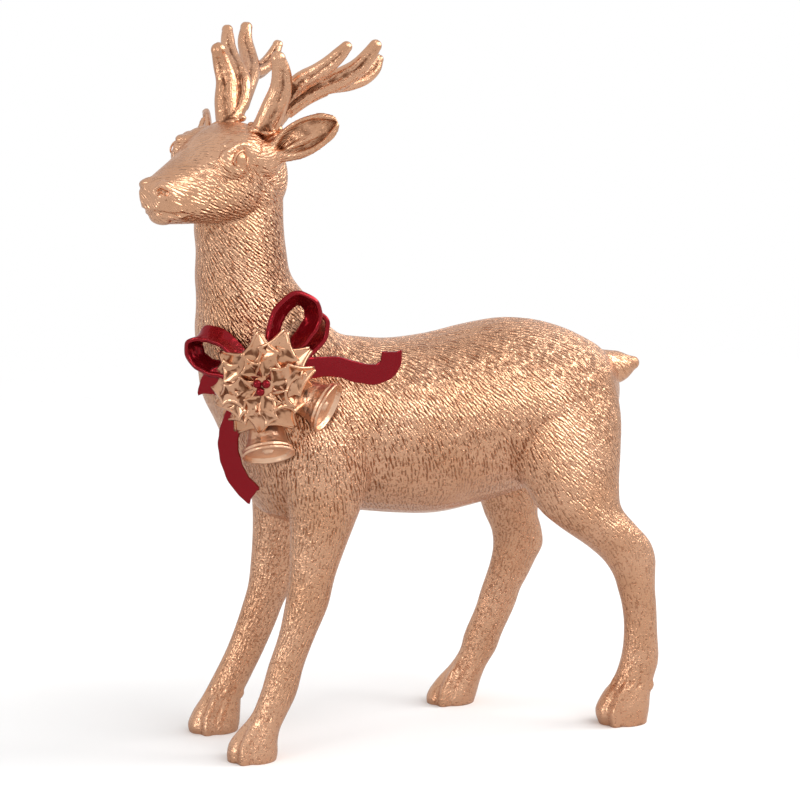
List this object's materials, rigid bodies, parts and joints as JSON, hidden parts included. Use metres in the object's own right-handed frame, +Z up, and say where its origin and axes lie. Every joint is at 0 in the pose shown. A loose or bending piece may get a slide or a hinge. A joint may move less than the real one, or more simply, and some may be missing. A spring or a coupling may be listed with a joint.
{
  "type": "reindeer figurine",
  "caption": "Standing reindeer ornament with its head turned to the side, branched antlers, and a ribbon bow, holly spray and bells at the neck.",
  "frame": {"origin": "on the ground under the middle of the bounding box", "axes": "+Z up, the figure faces -X, its left flank and the bow look toward -Y"},
  "size_m": [0.191, 0.0804, 0.2471],
  "materials": {
    "body_gold": "cast resin with carved fur, satin metallic copper-gold paint, darker in the grooves",
    "antler_gold": "cast resin with long ridges, satin metallic copper-gold paint",
    "ribbon_red": "cast resin, glossy deep red lacquer",
    "leaf_gold": "cast resin, glossy metallic copper-gold paint",
    "berry_red": "cast resin, glossy deep red lacquer",
    "bell_gold": "cast resin, satin metallic copper-gold paint"
  },
  "bodies": {
    "root": {"deer_body": "body_gold", "antler_left": "antler_gold", "antler_right": "antler_gold", "ribbon_bow": "ribbon_red", "holly_spray": "leaf_gold", "holly_berries": "berry_red", "bell_front": "bell_gold", "bell_side": "bell_gold"}
  },
  "joints": []
}
